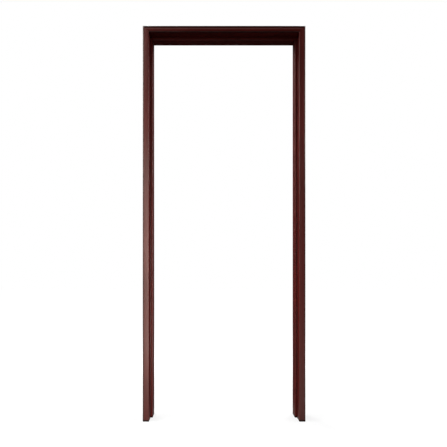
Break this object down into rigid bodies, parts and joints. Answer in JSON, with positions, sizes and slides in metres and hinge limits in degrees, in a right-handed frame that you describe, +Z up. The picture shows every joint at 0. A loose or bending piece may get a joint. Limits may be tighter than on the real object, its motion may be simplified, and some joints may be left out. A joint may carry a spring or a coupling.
{
  "type": "upvc door frame",
  "caption": "Three-sided door frame of hollow uPVC extrusion in dark wood-look foil, with a door rebate, sealed stop and mitred top corners, made to be fixed in a wall opening.",
  "frame": {"origin": "on the floor, under the middle of the frame", "axes": "+X across the doorway to the right as seen from the door side, +Y from the door side to the back, +Z up"},
  "size_m": [0.832, 0.1, 2.022],
  "materials": {
    "foiled_upvc": "satin mahogany wood-grain foil on uPVC",
    "brown_seal": "matt",
    "galvanised_steel": "galvanised",
    "cast_aluminium": "as cast",
    "zinc_plated_steel": "zinc plated"
  },
  "bodies": {
    "root": {"head": "foiled_upvc", "head_key_screw_1": "zinc_plated_steel", "head_key_screw_2": "zinc_plated_steel", "head_key_screw_3": "zinc_plated_steel", "head_key_screw_4": "zinc_plated_steel", "head_screw_1": "zinc_plated_steel", "head_screw_2": "zinc_plated_steel", "head_screw_3": "zinc_plated_steel", "head_seal": "brown_seal", "head_steel": "galvanised_steel", "left_corner_key": "cast_aluminium", "left_jamb": "foiled_upvc", "left_jamb_key_screw_1": "zinc_plated_steel", "left_jamb_key_screw_2": "zinc_plated_steel", "left_jamb_screw_1": "zinc_plated_steel", "left_jamb_screw_2": "zinc_plated_steel", "left_jamb_screw_3": "zinc_plated_steel", "left_jamb_screw_4": "zinc_plated_steel", "left_jamb_screw_5": "zinc_plated_steel", "left_jamb_seal": "brown_seal", "left_jamb_steel": "galvanised_steel", "right_corner_key": "cast_aluminium", "right_jamb": "foiled_upvc", "right_jamb_key_screw_1": "zinc_plated_steel", "right_jamb_key_screw_2": "zinc_plated_steel", "right_jamb_screw_1": "zinc_plated_steel", "right_jamb_screw_2": "zinc_plated_steel", "right_jamb_screw_3": "zinc_plated_steel", "right_jamb_screw_4": "zinc_plated_steel", "right_jamb_screw_5": "zinc_plated_steel", "right_jamb_seal": "brown_seal", "right_jamb_steel": "galvanised_steel"}
  },
  "joints": []
}
